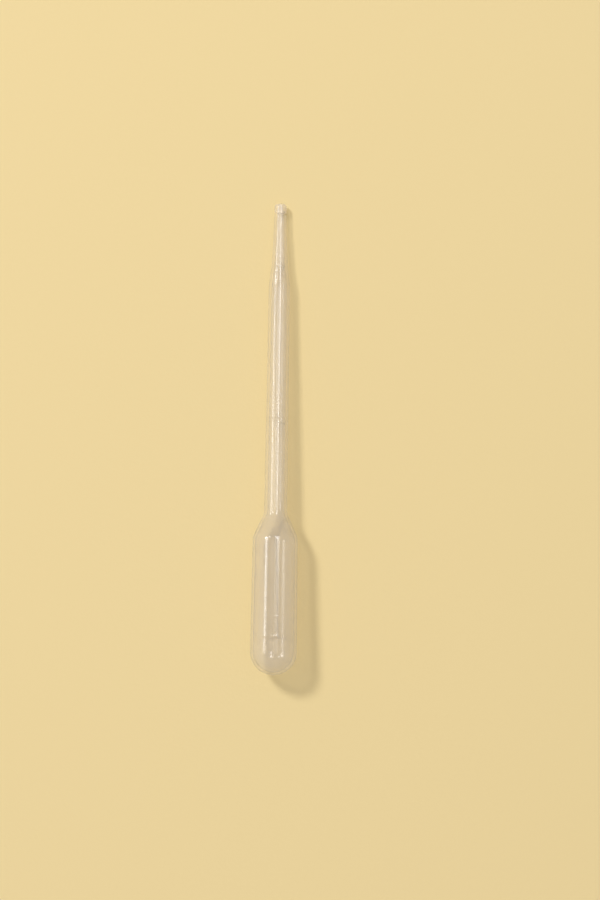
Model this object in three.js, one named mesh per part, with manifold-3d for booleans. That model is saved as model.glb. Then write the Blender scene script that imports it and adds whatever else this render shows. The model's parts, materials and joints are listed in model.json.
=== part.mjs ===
// A disposable transfer pipette: one blow-moulded piece of natural low-density polyethylene, with a closed
// squeeze bulb, a long stem and a drawn tip. It is built as the moulding's own sections, split at the mould's
// ring lines and where the soft plastic moves: the bulb's two side walls pinch inwards, and the stem and the
// tip flex sideways.
//
// Units are millimetres. A station is a distance along the pipette's axis from the pole of the bulb's dome.
// Every section is turned about the local +Y axis, and the whole pipette then lies on a bench with +Z up: the
// bulb's shoulder edge and the tip's rim touch the bench, and the tip points along +Y.
import * as THREE from "three";
import { mergeVertices } from "three/addons/utils/BufferGeometryUtils.js";
import Module from "manifold-3d";

const wasm = await Module();
wasm.setup();

// Driving dimensions.
const LENGTH = 155;
const DOME_RADIUS = 7.65;
const DOME_WALL = 0.9;
const DOME_RING = 13; // the mould's ring line between the dome and the bulb's barrel
const SHOULDER_EDGE = 45; // where the barrel turns into the shoulder cone
const STEM_START = 53;
const STEM_RING = 84.4; // the mould's ring line round the stem
const NECK_START = 128.2;
const NECK_END = 134.3;
const TIP_WAIST = 145.5; // where the tip's taper becomes shallow
const RIM_START = 152.2; // the thick rim that closes the tip down to its orifice
const RIM_ROUNDING = 0.9;
const ORIFICE_RADIUS = 0.65;
const PINCH_START = 15.5; // the stretch of side wall that a finger and thumb push in
const PINCH_END = 43;
const PINCH_HALF_WIDTH = 4;
const CLEARANCE = 0.3; // between parts that move past each other
const BALL_MARGIN = 0.5; // how far a flexing section's ball end stands outside the tube's own radius

// The moulding's outline from the dome's ring to the rim: station, outer radius, wall thickness.
const OUTLINE = [
  { station: DOME_RING, radius: 7.6, wall: 0.8 },
  { station: SHOULDER_EDGE, radius: 7.35, wall: 0.8 },
  { station: STEM_START, radius: 3.75, wall: 1 },
  { station: NECK_START, radius: 3.45, wall: 0.95 },
  { station: NECK_END, radius: 2.63, wall: 0.95 },
  { station: TIP_WAIST, radius: 2.1, wall: 0.9 },
  { station: RIM_START, radius: 1.98, wall: 0.9 },
];

// A flexing tube turns about the middle of the stretch between two ring lines.
const STEM_LOWER_HINGE = (STEM_START + STEM_RING) / 2;
const STEM_UPPER_HINGE = (STEM_RING + NECK_START) / 2;
const TIP_HINGE = (NECK_START + LENGTH) / 2;

const TURN_SEGMENTS = 48;
const DOME_STEPS = 9;
const ROUNDING_STEPS = 3;

// The outline's value between its stations, by straight lines.
function outlineAt(station, key) {
  const next = Math.max(1, OUTLINE.findIndex((point) => point.station >= station));
  const [low, high] = [OUTLINE[next - 1], OUTLINE[next]];
  const share = (station - low.station) / (high.station - low.station);
  return THREE.MathUtils.lerp(low[key], high[key], share);
}

const outerRadius = (station) => outlineAt(station, "radius");
const innerRadius = (station) => outerRadius(station) - outlineAt(station, "wall");

// The ends of a section, as the stations of its outer and inner edge: square to the axis, or on a ball about
// a hinge.
const squareEnd = (station) => ({ outer: station, inner: station });

function ballEnd(hinge, gap) {
  const ball = outerRadius(hinge) + BALL_MARGIN + gap;
  return {
    outer: hinge + Math.sqrt(ball ** 2 - outerRadius(hinge) ** 2),
    inner: hinge + Math.sqrt(ball ** 2 - innerRadius(hinge) ** 2),
  };
}

// Turns a profile of [radius, station] pairs about the axis, with a flat facet facing the bench.
function turned(profile) {
  const points = profile.map(([radius, station]) => new THREE.Vector2(radius, station));
  return new THREE.LatheGeometry(points, TURN_SEGMENTS, Math.PI / TURN_SEGMENTS);
}

// A length of the moulding between two ends, following the outline inside and out.
function tubeSection(start, end) {
  const between = (edge) => {
    const inside = OUTLINE.map((point) => point.station);
    return [start[edge], ...inside.filter((s) => s > start[edge] && s < end[edge]), end[edge]];
  };
  const outer = between("outer").map((s) => [outerRadius(s), s]);
  const inner = between("inner").map((s) => [innerRadius(s), s]).reverse();
  return turned([...outer, ...inner, outer[0]]);
}

// The closed end of the bulb: a hemisphere that runs into a short cylinder.
function domeSection() {
  const arc = (radius, clockwise) => {
    const [from, to] = clockwise ? [0, -Math.PI / 2] : [-Math.PI / 2, 0];
    const curve = new THREE.EllipseCurve(0, DOME_RADIUS, radius, radius, from, to, clockwise);
    return curve.getPoints(DOME_STEPS).map((point) => [Math.max(0, point.x), point.y]);
  };
  const ring = [[outerRadius(DOME_RING), DOME_RING], [innerRadius(DOME_RING), DOME_RING]];
  return turned([...arc(DOME_RADIUS, false), ...ring, ...arc(DOME_RADIUS - DOME_WALL, true)]);
}

// The tip's last stretch: its wall closes in to the orifice, and its outer edge is rounded to a narrow flat
// face.
function rimSection() {
  const start = RIM_START;
  const radius = outerRadius(start);
  const centre = [radius - RIM_ROUNDING, LENGTH - RIM_ROUNDING];
  const rounding = new THREE.EllipseCurve(...centre, RIM_ROUNDING, RIM_ROUNDING, 0, Math.PI / 2);
  const edge = rounding.getPoints(ROUNDING_STEPS).map((point) => [point.x, point.y]);
  const bore = innerRadius(start);
  const throat = start + bore - ORIFICE_RADIUS; // a 45 degree funnel
  return turned([
    [radius, start],
    ...edge,
    [ORIFICE_RADIUS, LENGTH],
    [ORIFICE_RADIUS, throat],
    [bore, start],
    [radius, start],
  ]);
}

// Conversions between three.js geometry and manifold-3d solids, for cutting.
function solidFrom(geometry) {
  geometry.deleteAttribute("normal");
  geometry.deleteAttribute("uv");
  const merged = mergeVertices(geometry);
  const vertProperties = merged.attributes.position.array;
  const triVerts = new Uint32Array(merged.index.array);
  return new wasm.Manifold(new wasm.Mesh({ numProp: 3, vertProperties, triVerts }));
}

function geometryFrom(solid) {
  const mesh = solid.getMesh();
  const geometry = new THREE.BufferGeometry();
  geometry.setAttribute("position", new THREE.BufferAttribute(mesh.vertProperties, 3));
  geometry.setIndex(new THREE.BufferAttribute(mesh.triVerts, 1));
  geometry.computeVertexNormals();
  return geometry;
}

// A block over one side wall of the bulb: side is -1 for the left wall and 1 for the right. gap grows it all
// round.
function pinchBlock(side, gap) {
  const length = PINCH_END - PINCH_START + 2 * gap;
  const depth = 2 * DOME_RADIUS;
  const block = new THREE.BoxGeometry(depth, length, 2 * (PINCH_HALF_WIDTH + gap));
  return solidFrom(block.translate((side * depth) / 2, (PINCH_START + PINCH_END) / 2, 0));
}

const barrelTube = solidFrom(tubeSection(squareEnd(DOME_RING), squareEnd(SHOULDER_EDGE)));

// The barrel keeps a window on each side, and each window's wall is a part of its own.
function barrelSection() {
  const windows = pinchBlock(-1, CLEARANCE).add(pinchBlock(1, CLEARANCE));
  return geometryFrom(barrelTube.subtract(windows));
}

const pinchWall = (side) => geometryFrom(barrelTube.intersect(pinchBlock(side, 0)));

// Natural polyethylene: milky, see-through, with a soft gloss. Thicker stretches are a little whiter.
function plastic(colour, opacity) {
  return new THREE.MeshStandardMaterial({
    color: colour,
    roughness: 0.32,
    metalness: 0,
    transparent: true,
    opacity,
    side: THREE.DoubleSide,
  });
}

const BULB_COLOUR = 0xe9e2d6;
const STEM_COLOUR = 0xeee9e2;
const RIM_COLOUR = 0xf3ecdc;

// A nested group whose origin is on the axis at a station, so that turning the group bends the pipette there.
function groupAt(parent, station) {
  const group = new THREE.Group();
  group.position.y = station - (parent?.userData.station ?? 0);
  group.userData.station = station;
  parent?.add(group);
  return group;
}

function addSection(group, name, geometry, material) {
  const mesh = new THREE.Mesh(geometry.translate(0, -group.userData.station, 0), material);
  mesh.name = name;
  group.add(mesh);
}

// The bulb carries everything else: its own fixed sections, the two pinched walls, and the chain of flexing
// tubes.
const pipette = groupAt(null, 0);
const dome = domeSection();
const shoulder = tubeSection(squareEnd(SHOULDER_EDGE), squareEnd(STEM_START));
const stemRoot = tubeSection(squareEnd(STEM_START), ballEnd(STEM_LOWER_HINGE, 0));
addSection(pipette, "bulb_dome", dome, plastic(BULB_COLOUR, 0.6));
addSection(pipette, "bulb_barrel", barrelSection(), plastic(BULB_COLOUR, 0.55));
addSection(pipette, "bulb_left_wall", pinchWall(-1), plastic(BULB_COLOUR, 0.55));
addSection(pipette, "bulb_right_wall", pinchWall(1), plastic(BULB_COLOUR, 0.55));
addSection(pipette, "bulb_shoulder", shoulder, plastic(BULB_COLOUR, 0.6));
addSection(pipette, "stem_root", stemRoot, plastic(STEM_COLOUR, 0.65));

const lowerStem = groupAt(pipette, STEM_LOWER_HINGE);
const stemLower = tubeSection(ballEnd(STEM_LOWER_HINGE, CLEARANCE), squareEnd(STEM_RING));
const stemMiddle = tubeSection(squareEnd(STEM_RING), ballEnd(STEM_UPPER_HINGE, 0));
addSection(lowerStem, "stem_lower", stemLower, plastic(STEM_COLOUR, 0.65));
addSection(lowerStem, "stem_middle", stemMiddle, plastic(STEM_COLOUR, 0.65));

const upperStem = groupAt(lowerStem, STEM_UPPER_HINGE);
const stemUpper = tubeSection(ballEnd(STEM_UPPER_HINGE, CLEARANCE), squareEnd(NECK_START));
const neck = tubeSection(squareEnd(NECK_START), squareEnd(NECK_END));
const tipRoot = tubeSection(squareEnd(NECK_END), ballEnd(TIP_HINGE, 0));
addSection(upperStem, "stem_upper", stemUpper, plastic(STEM_COLOUR, 0.65));
addSection(upperStem, "neck", neck, plastic(STEM_COLOUR, 0.7));
addSection(upperStem, "tip_root", tipRoot, plastic(STEM_COLOUR, 0.7));

const tip = groupAt(upperStem, TIP_HINGE);
const tipTube = tubeSection(ballEnd(TIP_HINGE, CLEARANCE), squareEnd(RIM_START));
addSection(tip, "tip_tube", tipTube, plastic(STEM_COLOUR, 0.7));
addSection(tip, "tip_rim", rimSection(), plastic(RIM_COLOUR, 0.8));

// Lay the pipette down: the bench touches the shoulder edge and the tip's rim, and the origin is on the bench
// under the middle of the pipette's bounding box.
const restDrop = outerRadius(SHOULDER_EDGE) - outerRadius(RIM_START);
const restSpan = LENGTH - RIM_ROUNDING - SHOULDER_EDGE;
pipette.rotation.x = -Math.atan2(restDrop, restSpan);

const box = new THREE.Box3().setFromObject(pipette, true);
const middle = box.getCenter(new THREE.Vector3());
pipette.position.set(-middle.x, -middle.y, -box.min.z);

export default pipette;
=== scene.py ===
"""A disposable transfer pipette lying on a pale bench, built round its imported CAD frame.

The real thing is one blow-moulded piece of natural low-density polyethylene: a squeeze bulb, a stem and a
drawn tip. Every visible piece here is a closed double wall turned about the pipette's own axis, with the
mould's ring lines, its parting line and its pinched-off weld as real relief. Places and radii are measured
from the CAD nodes. Everything is in metres, in the frame of the CAD. A station is a distance along the axis
from the pole of the bulb's dome, and a turn is an angle round the axis from +X towards the top.
"""

import json
import math

import bmesh
import bpy
import numpy as np
from mathutils import Matrix, Vector


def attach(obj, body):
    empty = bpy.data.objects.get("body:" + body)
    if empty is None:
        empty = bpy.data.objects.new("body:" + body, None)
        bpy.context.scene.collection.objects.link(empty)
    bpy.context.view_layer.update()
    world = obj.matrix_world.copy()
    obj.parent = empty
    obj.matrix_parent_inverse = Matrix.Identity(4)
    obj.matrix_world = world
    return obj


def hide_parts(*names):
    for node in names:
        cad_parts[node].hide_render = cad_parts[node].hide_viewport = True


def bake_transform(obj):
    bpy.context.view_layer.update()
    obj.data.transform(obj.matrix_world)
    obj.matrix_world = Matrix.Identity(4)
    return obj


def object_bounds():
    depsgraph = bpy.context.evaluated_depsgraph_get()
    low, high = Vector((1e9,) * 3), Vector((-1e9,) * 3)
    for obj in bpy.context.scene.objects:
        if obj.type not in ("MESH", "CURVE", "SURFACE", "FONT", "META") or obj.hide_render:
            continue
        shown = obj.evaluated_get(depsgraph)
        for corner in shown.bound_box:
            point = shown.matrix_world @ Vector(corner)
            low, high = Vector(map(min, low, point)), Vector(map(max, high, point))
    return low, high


MM = 0.001
TOP = math.pi / 2  # the turn of the pipette's top

# Corner roundings, outside and inside, as half the length of each rounded stretch.
SHOULDER_ROUNDING = (0.9 * MM, 1.0 * MM)
STEM_ROOT_ROUNDING = (0.7 * MM, 1.2 * MM)
NECK_ROUNDING = (1.2 * MM, 2.0 * MM)
TIP_ROOT_ROUNDING = (0.5 * MM, 1.5 * MM)
WAIST_ROUNDING = (2.5 * MM, 2.5 * MM)
SHARP = (0.01 * MM, 0.01 * MM)  # next to no rounding
FUNNEL_SHARE = 0.9  # how much of the thick end's length the funnel inside it takes

# Relief that the mould leaves on the plastic.
RING_LINE_HEIGHT = 0.06 * MM
RING_LINE_HALF_WIDTH = 0.6 * MM
CORNER_LINE_HEIGHT = 0.06 * MM  # the fine line at an outline corner
CORNER_LINE_HALF_WIDTH = 0.5 * MM
FAINT_RING = 19.4 * MM  # the station of a lighter ring line, from an insert in the mould
FAINT_RING_HEIGHT = 0.02 * MM
PARTING_LINE_HEIGHT = 0.0035  # as a share of the radius
PARTING_LINE_HALF_WIDTH = math.radians(2.1)
DIE_LINE_HEIGHT = 0.008 * MM  # fine lengthwise ridges on the bulb, beside the parting line
DIE_LINE_HALF_WIDTH = math.radians(1.7)
DIE_LINES = [math.radians(angle) for angle in (-13.5, -8, -4.5, 3.5, 7, 11.5)]  # from the parting line
DIE_LINE_REACH = math.radians(15.2)
WELD_HEIGHT = 0.1 * MM
WELD_HALF_WIDTH = 0.45 * MM
WELD_HALF_LENGTH = 3.2 * MM

# Slow unevenness of the blown wall, outside and inside, as a share of the radius. Each wave has a number of
# lobes round the tube, a twist in radians per metre along it, a share, and a phase outside and inside.
WAVINESS = (0.0003, 0.001)
WAVES = [
    (2, 40, 1.0, (0, 1.7)),
    (3, -70, 0.6, (-math.pi / 2, 3.4 - math.pi / 2)),
    (7, 30, 0.15, (0, 5.1)),
]
CALM_POLE = (0.2, 0.7)  # the dome's relief sets in between these shares of its radius from the axis

# Mesh density.
STATION_STEP = 0.5 * MM
TURN_STEP = math.radians(3)
DIE_LINE_STEP = math.radians(0.6)
RING_LINE_STATIONS = 11
CORNER_STATIONS = 9
DOME_RINGS = 48
RIM_STEPS = 12
SEAM_GAP = 0.004 * MM  # at each side of a seam, so that no two faces lie in one plane
SHARP_ANGLE = math.radians(40)  # edges at a larger angle are shaded as sharp
MERGE_DISTANCE = 1e-8  # joins the copies of a vertex at the dome's pole

# Tolerances for reading the CAD nodes.
SAME_STATION = 0.02 * MM
ON_AXIS = 0.1 * MM
SMALLEST_RADIUS = 0.01 * MM

# Stretches each side of the stem and tip hinges, handed on to the flexing tubes.
STEM_BEND = 12 * MM  # the stretch each side of a stem hinge
TIP_BEND = 7.2 * MM

# The plastic. Haze is the share of light that it scatters, and shine the share that its skin mirrors where it
# is seen square on.
PLASTIC_COLOUR = (0.985, 0.98, 0.975)
RIM_COLOUR = (0.99, 0.98, 0.95)
HAZE_COLOUR = (0.98, 0.94, 0.91)
EDGE_HAZE = 0.45  # how much milkier a wall looks where it is seen edge on
EDGE_FALLOFF = 6.0
MIRROR_FALLOFF = 5.0  # how fast the skin turns into a mirror towards a grazing view
CLOUD_SCALE = 190
CLOUD_SPREAD = 0.25  # how unevenly the haze is spread, as a share of it
GRAIN_SCALE = 2600
GRAIN_SPREAD = 0.06  # how much the grain varies the roughness, as a share of it
STREAK_STRETCH = (14, 14, 12)  # of the fine streaks, across, across and along
STREAK_DEPTH = 0.03 * MM
BULB_STREAKS = 0.12  # how strong the streaks are on the bulb. They fade along the stem
TIP_STREAKS = 0.02  # and from the neck on, where drawing has smoothed the plastic

# The bench.
FLOOR_HALF_SIZE = 2.0
FLOOR_DROP = 0.02 * MM  # keeps the floor just clear of the plastic
PAPER_COLOUR = (0.83, 0.66, 0.34)
PAPER_ROUGHNESS = 0.9
PAPER_SHEEN = 0.2
PAPER_GRAIN_SCALE = 900
PAPER_GRAIN_STRENGTH = 0.25
PAPER_GRAIN_DEPTH = 0.2 * MM

# The studio's lights: name, direction from the pipette, width and length, power in watts, and whether the
# light is seen as a highlight. The lamps show in the rounded shoulder and in the dome's far wall, and the
# strips as the streaks along the bulb, the stem and the tip. The key light isn't seen itself: it brightens
# the bench and the haze and throws the shadow.
LIGHTS = [
    ("key", (-0.48, 0.48, 0.73), (0.45, 0.45), 62, False),
    ("key_lamp", (-0.48, 0.48, 0.73), (0.2, 0.2), 9, True),
    ("left_lamp", (-0.713, 0.363, 0.6), (0.2, 0.2), 14, True),
    ("top_lamp", (0.203, 0.508, 0.836), (0.2, 0.25), 18, True),
    ("left_strip", (-0.72, 0.155, 0.675), (0.3, 1.23), 20, True),
    ("top_strip", (0.25, 0.22, 0.943), (0.2, 1.05), 18, True),
]
LIGHT_DISTANCE = 3.0
WORLD_COLOUR = (1.0, 0.98, 0.96)
WORLD_STRENGTH = 0.5

# The camera looks straight down.
CAMERA_LENS = 85
CAMERA_NEAR = 0.01
CAMERA_HEIGHT = 0.7046
CAMERA_ASIDE = 7.6 * MM  # how far the camera stands to the pipette's right
CAMERA_BELOW = 3.8 * MM  # and towards its bulb
CAMERA_ROLL = math.radians(0.91)

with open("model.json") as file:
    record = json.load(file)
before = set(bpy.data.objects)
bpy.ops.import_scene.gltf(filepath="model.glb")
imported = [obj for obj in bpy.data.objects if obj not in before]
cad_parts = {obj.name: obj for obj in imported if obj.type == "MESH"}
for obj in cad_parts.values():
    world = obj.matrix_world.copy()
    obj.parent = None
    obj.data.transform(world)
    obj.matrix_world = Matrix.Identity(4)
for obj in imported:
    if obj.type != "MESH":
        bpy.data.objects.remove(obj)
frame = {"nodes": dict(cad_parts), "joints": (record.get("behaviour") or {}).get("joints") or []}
cad_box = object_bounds()
joints = {joint["name"]: joint for joint in frame["joints"]}


# ------------------------------------------------------------------------------ measuring the CAD frame


def hinge(name):
    return Vector(joints[name]["pos_m"])


AXIS = (hinge("tip_flex") - hinge("stem_flex")).normalized()
ACROSS = Vector((1, 0, 0))
UP = ACROSS.cross(AXIS)


def vertices_of(node, origin):
    """Station and radius of each vertex of a CAD node, from an origin on the axis."""
    points = np.array([v.co for v in frame["nodes"][node].data.vertices]) - np.array(origin)
    stations = points @ np.array(AXIS)
    radii = np.linalg.norm(points - np.outer(stations, np.array(AXIS)), axis=1)
    return stations, radii


POLE = hinge("stem_flex") + AXIS * float(vertices_of("bulb_dome", hinge("stem_flex"))[0].min())


def knot(node, level, rounding=SHARP):
    """A place on the outline where a CAD node has vertices. level counts those places along the axis."""
    stations, radii = vertices_of(node, POLE)
    station = np.unique(np.round(stations, 5))[level]
    here = radii[np.abs(stations - station) < SAME_STATION]
    return {"station": station, "radius": (here.max(), here.min()), "rounding": rounding}


DOME_RING = knot("bulb_dome", -1)
SHOULDER = knot("bulb_shoulder", 0, SHOULDER_ROUNDING)
STEM_ROOT = knot("bulb_shoulder", -1, STEM_ROOT_ROUNDING)
STEM_RING = knot("stem_lower", -1)
NECK = knot("neck", 0, NECK_ROUNDING)
TIP_ROOT = knot("neck", -1, TIP_ROOT_ROUNDING)
WAIST = knot("tip_tube", -2, WAIST_ROUNDING)
RIM = knot("tip_rim", 0)
END = knot("tip_rim", -1)
OUTLINE = [DOME_RING, SHOULDER, STEM_ROOT, NECK, TIP_ROOT, WAIST, RIM]
RING_LINES = [
    (DOME_RING["station"], RING_LINE_HEIGHT, RING_LINE_HALF_WIDTH),
    (FAINT_RING, FAINT_RING_HEIGHT, RING_LINE_HALF_WIDTH),
    (STEM_RING["station"], RING_LINE_HEIGHT, RING_LINE_HALF_WIDTH),
    (STEM_ROOT["station"], CORNER_LINE_HEIGHT, CORNER_LINE_HALF_WIDTH),
    (TIP_ROOT["station"], CORNER_LINE_HEIGHT, CORNER_LINE_HALF_WIDTH),
]

dome_stations, dome_radii = vertices_of("bulb_dome", POLE)
DOME_RADIUS = dome_radii.max()
DOME_WALL = dome_stations[dome_radii < ON_AXIS].max()

# The outside and the inside of the wall, and the faces where one piece of the moulding runs on into the next.
OUTSIDE, INSIDE, JOINED = 0, 1, 2


# ------------------------------------------------------------------------------ shape of the moulding


def bell(x):
    """1 at 0, falling smoothly to 0 at 1 and -1."""
    return np.maximum(0, 1 - x * x) ** 2


def smoothstep(x):
    t = np.clip(x, 0, 1)
    return t * t * (3 - 2 * t)


def bend(offset, half):
    """0 before a corner and the offset after it, with a parabola over half a length each side."""
    return np.where(np.abs(offset) < half, (offset + half) ** 2 / (4 * half), np.maximum(offset, 0))


def tube_radius(stations, side):
    """The outline's radius at each station, outside or inside, with its corners rounded."""
    slopes = [
        (b["radius"][side] - a["radius"][side]) / (b["station"] - a["station"])
        for a, b in zip(OUTLINE, OUTLINE[1:])
    ]
    radius = OUTLINE[0]["radius"][side] + slopes[0] * (stations - OUTLINE[0]["station"])
    for corner, before, after in zip(OUTLINE[1:-1], slopes, slopes[1:]):
        radius = radius + (after - before) * bend(stations - corner["station"], corner["rounding"][side])
    return radius


def waviness(stations, turns, side):
    """The wall's unevenness, more of it inside, where no mould touches the plastic."""
    waves = [
        share * np.cos(lobes * turns + twist * stations + phases[side])
        for lobes, twist, share, phases in WAVES
    ]
    return WAVINESS[side] * sum(waves)


def lengthwise_lines(radius, stations, turns):
    """The line where the mould's halves meet, along the top and the bottom, and the bulb's die lines."""
    angle = np.arcsin(np.cos(turns).clip(-1, 1))
    on_bulb = smoothstep((STEM_ROOT["station"] - stations) / (STEM_ROOT["station"] - SHOULDER["station"]))
    parting = radius * PARTING_LINE_HEIGHT * bell(angle / PARTING_LINE_HALF_WIDTH)
    die = sum(bell((angle - line) / DIE_LINE_HALF_WIDTH) for line in DIE_LINES)
    return parting + DIE_LINE_HEIGHT * on_bulb * die


def ring_lines(stations):
    return sum(height * bell((stations - ring) / half) for ring, height, half in RING_LINES)


def tube_wall(stations, turns):
    """Radii of the outer and the inner surface over a grid of stations and turns."""
    s, t = np.meshgrid(stations, turns, indexing="ij")
    outer = tube_radius(s, OUTSIDE)
    outer = outer * (1 + waviness(s, t, OUTSIDE)) + lengthwise_lines(outer, s, t) + ring_lines(s)
    return outer, tube_radius(s, INSIDE) * (1 + waviness(s, t, INSIDE))


def spaced(start, end, step):
    return np.linspace(start, end, max(2, math.ceil((end - start) / step) + 1))


def stations_between(start, end):
    """Even steps, with finer ones across the ring lines and the outline's corners."""
    first, last = start + SEAM_GAP, end - SEAM_GAP
    rings = [ring + half * np.linspace(-1, 1, RING_LINE_STATIONS) for ring, _, half in RING_LINES]
    corners = [
        corner["station"] + corner["rounding"][OUTSIDE] * np.linspace(-1, 1, CORNER_STATIONS)
        for corner in OUTLINE
    ]
    stations = np.concatenate([spaced(first, last, STATION_STEP), *rings, *corners])
    return np.unique(stations.clip(first, last).round(8))


def turns_between(start, end, reach):
    """Even steps, with finer ones within reach of the parting line at the top and the bottom."""
    fine = [seam + spaced(-reach, reach, DIE_LINE_STEP) for seam in (-TOP, TOP, 3 * TOP)]
    turns = np.concatenate([spaced(start, end, TURN_STEP), *fine])
    turns = turns[(turns >= start) & (turns <= end)]
    return np.unique(turns.round(8))


def all_round(reach):
    return turns_between(-TOP, 3 * TOP, reach)[:-1]


def points_at(stations, radii, turns):
    """Points over a grid, in the CAD's frame. Stations may be a line, or a grid as the radii are."""
    stations = np.broadcast_to(stations if np.ndim(stations) == 2 else stations[:, None], radii.shape)
    axis, across, up, pole = (np.array(v) for v in (AXIS, ACROSS, UP, POLE))
    return (
        pole
        + stations[..., None] * axis
        + (radii * np.cos(turns))[..., None] * across
        + (radii * np.sin(turns))[..., None] * up
    )


# ------------------------------------------------------------------------------ meshes


def strip(first, second, wrap):
    """Quads between two lines of vertices."""
    if wrap:
        first, second = np.append(first, first[0]), np.append(second, second[0])
    return [
        (int(a), int(b), int(c), int(d))
        for a, b, c, d in zip(first, second, second[1:], first[1:])
    ]


def wall_faces(rows, columns, wrap, start_cap, end_kind):
    """The faces of a closed wall, by kind. Its outer grid of vertices comes first, then its inner grid."""
    out = np.arange(rows * columns).reshape(rows, columns)
    ins = out + rows * columns
    surfaces = {OUTSIDE: [], INSIDE: [], JOINED: []}
    for k in range(rows - 1):
        surfaces[OUTSIDE] += strip(out[k], out[k + 1], wrap)
        surfaces[INSIDE] += strip(ins[k + 1], ins[k], wrap)
    surfaces[end_kind] += strip(out[-1], ins[-1], wrap)
    if start_cap:
        surfaces[JOINED] += strip(ins[0], out[0], wrap)
    if not wrap:
        surfaces[JOINED] += strip(out[:, 0], ins[:, 0], False)
        surfaces[JOINED] += strip(ins[:, -1], out[:, -1], False)
    return surfaces


def closed_wall(name, outer, inner, wrap=True, start_cap=True, end_kind=JOINED):
    """A closed solid between an outer and an inner grid of points. wrap joins the last turn to the first."""
    surfaces = wall_faces(*outer.shape[:2], wrap, start_cap, end_kind)
    faces = [face for kind in surfaces for face in surfaces[kind]]
    kinds = [kind for kind in surfaces for face in surfaces[kind]]
    mesh = bpy.data.meshes.new(name)
    mesh.from_pydata(np.concatenate([outer.reshape(-1, 3), inner.reshape(-1, 3)]).tolist(), [], faces)
    mesh.polygons.foreach_set("material_index", kinds)
    work = bmesh.new()
    work.from_mesh(mesh)
    bmesh.ops.remove_doubles(work, verts=work.verts, dist=MERGE_DISTANCE)
    bmesh.ops.recalc_face_normals(work, faces=work.faces)
    work.to_mesh(mesh)
    work.free()
    mesh.shade_smooth()
    mesh.set_sharp_from_angle(angle=SHARP_ANGLE)
    remember_skin(mesh)
    piece = bpy.data.objects.new(name, mesh)
    bpy.context.scene.collection.objects.link(piece)
    return piece


def remember_skin(mesh):
    """Stores where each vertex sits on the moulding, so that a material's pattern bends with the plastic."""
    points = np.array([v.co for v in mesh.vertices]) - np.array(POLE)
    stations = points @ np.array(AXIS)
    x, z = points @ np.array(ACROSS), points @ np.array(UP)
    radii = np.maximum(np.hypot(x, z), SMALLEST_RADIUS)
    skin = np.stack([x / radii, z / radii, stations], axis=1).astype(np.float32)
    mesh.attributes.new("skin", "FLOAT_VECTOR", "POINT").data.foreach_set("vector", skin.ravel())


def tube(name, start, end, turns, wrap=True):
    """A length of the moulding between two knots, at the given turns."""
    stations = stations_between(start["station"], end["station"])
    outer, inner = tube_wall(stations, turns)
    return closed_wall(name, points_at(stations, outer, turns), points_at(stations, inner, turns), wrap)


def dome_grid(radius, ring_radius, lift, polar, rest):
    """Stations and radii over a hemisphere, at polar angles, and over the stations of the tube beyond it.

    The lift raises the surface, by its own amount at each point of the grid.
    """
    height = radius + lift[: len(polar)]
    stations = DOME_RADIUS - height * np.cos(polar)[:, None]
    radii = height * np.sin(polar)[:, None]
    share = (rest - DOME_RADIUS) / (DOME_RING["station"] - DOME_RADIUS)
    straight = (radius + (ring_radius - radius) * share)[:, None] + lift[len(polar):]
    return (
        np.concatenate([stations, np.broadcast_to(rest[:, None], straight.shape)]),
        np.concatenate([radii, straight]),
    )


def dome(name):
    """The bulb's closed end, with the weld where the mould pinched off the tube of melt."""
    turns = all_round(DIE_LINE_REACH)
    polar = np.linspace(0, math.pi / 2, DOME_RINGS)
    rest = stations_between(DOME_RADIUS, DOME_RING["station"])[1:]
    stations = np.concatenate([DOME_RADIUS * (1 - np.cos(polar)), rest])
    spread = np.concatenate([np.sin(polar), np.ones(len(rest))])[:, None]
    s, t = np.meshgrid(stations, turns, indexing="ij")
    x, z = DOME_RADIUS * spread * np.cos(t), DOME_RADIUS * spread * np.sin(t)
    weld = np.where(s < DOME_RADIUS / 2, bell(x / WELD_HALF_WIDTH) * bell(z / WELD_HALF_LENGTH), 0)
    calm_from, calm_to = CALM_POLE
    away = smoothstep((spread - calm_from) / (calm_to - calm_from))
    outer_lift = (
        WELD_HEIGHT * weld
        + away * (DOME_RADIUS * waviness(s, t, OUTSIDE) + lengthwise_lines(DOME_RADIUS * spread, s, t))
        + ring_lines(s)
    )
    inner_lift = away * DOME_RADIUS * waviness(s, t, INSIDE)
    outer = dome_grid(DOME_RADIUS, DOME_RING["radius"][OUTSIDE], outer_lift, polar, rest)
    inner = dome_grid(DOME_RADIUS - DOME_WALL, DOME_RING["radius"][INSIDE], inner_lift, polar, rest)
    return closed_wall(name, points_at(*outer, turns), points_at(*inner, turns), start_cap=False)


def rim(name):
    """The tip's thick end: rounded outside, with a funnel inside that closes the bore down to the orifice."""
    turns = all_round(PARTING_LINE_HALF_WIDTH)
    start, end = RIM["station"] + SEAM_GAP, END["station"]
    outer_radius, bore = RIM["radius"]
    face_radius, orifice = END["radius"]
    rounding = outer_radius - face_radius
    side = spaced(start, end - rounding, STATION_STEP)[:-1]
    arc = np.linspace(0, math.pi / 2, RIM_STEPS)
    outer_s = np.concatenate([side, end - rounding * (1 - np.sin(arc))])
    outer_r = np.concatenate([np.full(len(side), outer_radius), outer_radius - rounding * (1 - np.cos(arc))])
    inner_s = np.linspace(start, end, len(outer_s))
    funnel = smoothstep((inner_s - start) / (FUNNEL_SHARE * (end - start)))
    inner_r = bore + (orifice - bore) * funnel
    all_turns = np.ones(len(turns))
    outer = points_at(outer_s, np.outer(outer_r, all_turns), turns)
    inner = points_at(inner_s, np.outer(inner_r, all_turns), turns)
    return closed_wall(name, outer, inner, end_kind=OUTSIDE)


# ------------------------------------------------------------------------------ materials


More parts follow.
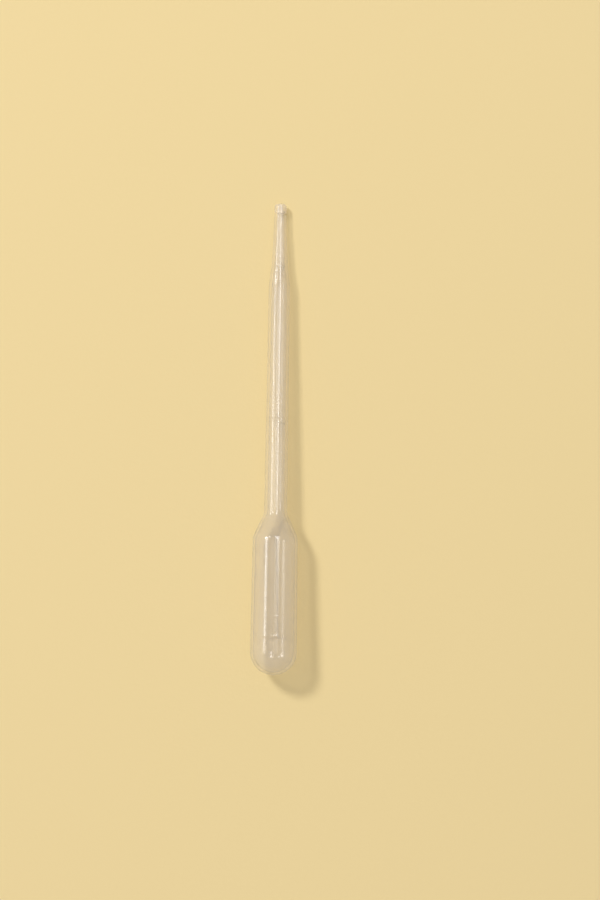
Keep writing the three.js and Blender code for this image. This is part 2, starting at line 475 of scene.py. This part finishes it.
def connect(tree, socket, value):
    """Gives an input a value, or another node's output."""
    if isinstance(value, bpy.types.NodeSocket):
        tree.links.new(value, socket)
    else:
        socket.default_value = value


def node(tree, kind, **inputs):
    """Adds a shader node. Its inputs are named with _ for a space."""
    made = tree.nodes.new(kind)
    for name, value in inputs.items():
        connect(tree, made.inputs[name.replace("_", " ")], value)
    return made


def maths(tree, operation, first, second):
    made = tree.nodes.new("ShaderNodeMath")
    made.operation = operation
    connect(tree, made.inputs[0], first)
    connect(tree, made.inputs[1], second)
    return made.outputs[0]


def mapped(tree, vector, scale):
    """A vector stretched by a scale on each axis."""
    return node(tree, "ShaderNodeMapping", Vector=vector, Scale=scale).outputs["Vector"]


def noise(tree, vector, scale, detail):
    return node(tree, "ShaderNodeTexNoise", Vector=vector, Scale=scale, Detail=detail).outputs["Fac"]


def mixed(tree, share, first, second):
    """Two shaders mixed, with a share of the second."""
    made = node(tree, "ShaderNodeMixShader", Fac=share)
    tree.links.new(first.outputs[0], made.inputs[1])
    tree.links.new(second.outputs[0], made.inputs[2])
    return made


def in_range(tree, value, low, high, start=0, end=1):
    """A value moved to a range, by where it lies between a start and an end."""
    limits = {"From_Min": start, "From_Max": end, "To_Min": low, "To_Max": high}
    return node(tree, "ShaderNodeMapRange", Value=value, **limits).outputs["Result"]


def new_material(name):
    """A material with no shader yet, and its node tree."""
    material = bpy.data.materials.new(name)
    material.use_nodes = True
    material.node_tree.nodes.clear()
    return material, material.node_tree


def show(tree, shader):
    output = node(tree, "ShaderNodeOutputMaterial")
    tree.links.new(shader.outputs[0], output.inputs["Surface"])


def milky_plastic(name, colour, haze, shine, roughness):
    """Natural polyethylene: most light goes on, the haze scatters some, and the skin shines."""
    material, tree = new_material(name)
    skin = node(tree, "ShaderNodeAttribute")
    skin.attribute_name = "skin"
    where = node(tree, "ShaderNodeTexCoord").outputs["Object"]
    station = node(tree, "ShaderNodeSeparateXYZ", Vector=skin.outputs["Vector"]).outputs["Z"]
    streaks = noise(tree, mapped(tree, skin.outputs["Vector"], STREAK_STRETCH), scale=1, detail=1)
    grain = noise(tree, where, GRAIN_SCALE, detail=2)
    cloud = noise(tree, where, CLOUD_SCALE, detail=3)

    relief = in_range(tree, station, BULB_STREAKS, TIP_STREAKS, SHOULDER["station"], NECK["station"])
    bumps = node(tree, "ShaderNodeBump", Strength=relief, Distance=STREAK_DEPTH, Height=streaks)
    bump = bumps.outputs["Normal"]
    gloss = in_range(tree, grain, roughness * (1 - GRAIN_SPREAD), roughness * (1 + GRAIN_SPREAD))
    slant = node(tree, "ShaderNodeLayerWeight", Blend=0.5, Normal=bump).outputs["Facing"]
    edge = maths(tree, "MULTIPLY", maths(tree, "POWER", slant, EDGE_FALLOFF), EDGE_HAZE)
    clouded = in_range(tree, cloud, haze * (1 - CLOUD_SPREAD), haze * (1 + CLOUD_SPREAD))
    milk = maths(tree, "ADD", clouded, edge)
    mirror = in_range(tree, maths(tree, "POWER", slant, MIRROR_FALLOFF), shine, 1.0)

    clear = node(tree, "ShaderNodeBsdfTransparent", Color=(*colour, 1))
    onward = node(tree, "ShaderNodeBsdfTranslucent", Color=(*HAZE_COLOUR, 1), Normal=bump)
    back = node(tree, "ShaderNodeBsdfDiffuse", Color=(*HAZE_COLOUR, 1), Normal=bump)
    body = mixed(tree, milk, clear, mixed(tree, 0.5, onward, back))
    glossy = node(tree, "ShaderNodeBsdfGlossy", Roughness=gloss, Normal=bump)
    show(tree, mixed(tree, mirror, body, glossy))
    return material


def joined_plastic(name):
    """Where two pieces of the moulding meet there is no surface, so light passes straight on."""
    material, tree = new_material(name)
    show(tree, node(tree, "ShaderNodeBsdfTransparent"))
    return material


def bench_paper(name):
    """Plain matt paper with a fine grain."""
    material, tree = new_material(name)
    where = node(tree, "ShaderNodeTexCoord").outputs["Object"]
    grain = noise(tree, where, PAPER_GRAIN_SCALE, detail=4)
    strength, depth = PAPER_GRAIN_STRENGTH, PAPER_GRAIN_DEPTH
    bump = node(tree, "ShaderNodeBump", Strength=strength, Distance=depth, Height=grain)
    paper = node(tree, "ShaderNodeBsdfPrincipled", Base_Color=(*PAPER_COLOUR, 1), Roughness=PAPER_ROUGHNESS)
    paper.inputs["Specular IOR Level"].default_value = PAPER_SHEEN
    connect(tree, paper.inputs["Normal"], bump.outputs["Normal"])
    show(tree, paper)
    return material


# ------------------------------------------------------------------------------ the pipette's pieces


joined = joined_plastic("joined_plastic")
TUBE_MATERIALS = (
    milky_plastic("outer_plastic", PLASTIC_COLOUR, haze=0.115, shine=0.045, roughness=0.18),
    milky_plastic("inner_plastic", PLASTIC_COLOUR, haze=0.115, shine=0.03, roughness=0.18),
    joined,
)
RIM_MATERIALS = (
    milky_plastic("outer_rim_plastic", RIM_COLOUR, haze=0.3, shine=0.045, roughness=0.22),
    milky_plastic("inner_rim_plastic", RIM_COLOUR, haze=0.35, shine=0.03, roughness=0.25),
    joined,
)


def add_piece(piece, materials, *replaced):
    for material in materials:
        piece.data.materials.append(material)
    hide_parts(*replaced)


def bend_at(piece):
    """Bakes the piece's placement into its mesh."""
    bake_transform(piece)


def dent_at(piece):
    """Bakes the piece's placement into its mesh."""
    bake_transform(piece)


def bulb_half(name, side, wall):
    """The bulb and its shoulder on one side of the parting line. Side is -1 for left and 1 for right."""
    seam_angle = SEAM_GAP / DOME_RADIUS
    start = -side * TOP
    turns = turns_between(start + seam_angle, start + math.pi - seam_angle, DIE_LINE_REACH)
    shell = tube(name, DOME_RING, STEM_ROOT, turns, wrap=False)
    add_piece(shell, TUBE_MATERIALS, wall, "bulb_barrel", "bulb_shoulder")
    dent_at(shell)


def flexing_tube(name, start, end, joint, reach, *replaced):
    """A length of stem or tip between two knots, in place of the CAD parts it replaces. The joint and the
    reach are not used.
    """
    shell = tube(name, start, end, all_round(PARTING_LINE_HALF_WIDTH))
    add_piece(shell, TUBE_MATERIALS, *replaced)
    bend_at(shell)


dome_shell = dome("dome_shell")
add_piece(dome_shell, TUBE_MATERIALS, "bulb_dome")
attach(dome_shell, "bulb")

bulb_half("bulb_left_shell", -1, "bulb_left_wall")
bulb_half("bulb_right_shell", 1, "bulb_right_wall")

flexing_tube(
    "lower_stem_shell", STEM_ROOT, STEM_RING, "stem_flex", STEM_BEND, "stem_root", "stem_lower"
)
flexing_tube(
    "upper_stem_shell", STEM_RING, TIP_ROOT, "stem_flex_upper", STEM_BEND, "stem_middle", "stem_upper", "neck"
)
flexing_tube("tip_shell", TIP_ROOT, RIM, "tip_flex", TIP_BEND, "tip_root", "tip_tube")

rim_shell = rim("rim_shell")
add_piece(rim_shell, RIM_MATERIALS, "tip_rim")
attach(rim_shell, "tip")


# ------------------------------------------------------------------------------ the studio


def add_floor():
    mesh = bpy.data.meshes.new("bench")
    h = FLOOR_HALF_SIZE
    z = -FLOOR_DROP
    mesh.from_pydata([(-h, -h, z), (h, -h, z), (h, h, z), (-h, h, z)], [], [(0, 1, 2, 3)])
    floor = bpy.data.objects.new("bench", mesh)
    mesh.materials.append(bench_paper("bench_paper"))
    bpy.context.scene.collection.objects.link(floor)


def add_light(name, direction, size, power, highlight):
    """A soft rectangular light that faces the pipette. Its second size runs along the pipette."""
    data = bpy.data.lights.new(name, "AREA")
    data.shape = "RECTANGLE"
    data.size, data.size_y = size
    data.energy = power
    light = bpy.data.objects.new(name, data)
    away = Vector(direction).normalized()
    across = Vector((0, 1, 0)).cross(away).normalized()
    light.location = away * LIGHT_DISTANCE
    light.rotation_euler = Matrix((across, away.cross(across), away)).transposed().to_euler()
    light.visible_glossy = highlight
    light.visible_diffuse = not highlight
    bpy.context.scene.collection.objects.link(light)


def add_world():
    world = bpy.data.worlds.new("studio")
    world.use_nodes = True
    background = world.node_tree.nodes["Background"]
    background.inputs["Color"].default_value = (*WORLD_COLOUR, 1)
    background.inputs["Strength"].default_value = WORLD_STRENGTH
    bpy.context.scene.world = world


def add_camera():
    data = bpy.data.cameras.new("camera")
    data.lens = CAMERA_LENS
    data.clip_start = CAMERA_NEAR
    camera = bpy.data.objects.new("camera", data)
    low, high = cad_box
    centre = (low + high) / 2
    c, s = math.cos(CAMERA_ROLL), math.sin(CAMERA_ROLL)
    aside = CAMERA_ASIDE * c + CAMERA_BELOW * s
    along = CAMERA_ASIDE * s - CAMERA_BELOW * c
    camera.location = (centre.x + aside, centre.y + along, CAMERA_HEIGHT)
    camera.rotation_euler = (0, 0, CAMERA_ROLL)
    bpy.context.scene.collection.objects.link(camera)
    bpy.context.scene.camera = camera


add_floor()
add_world()
for light in LIGHTS:
    add_light(*light)
add_camera()

bpy.context.scene.view_settings.view_transform = "Standard"
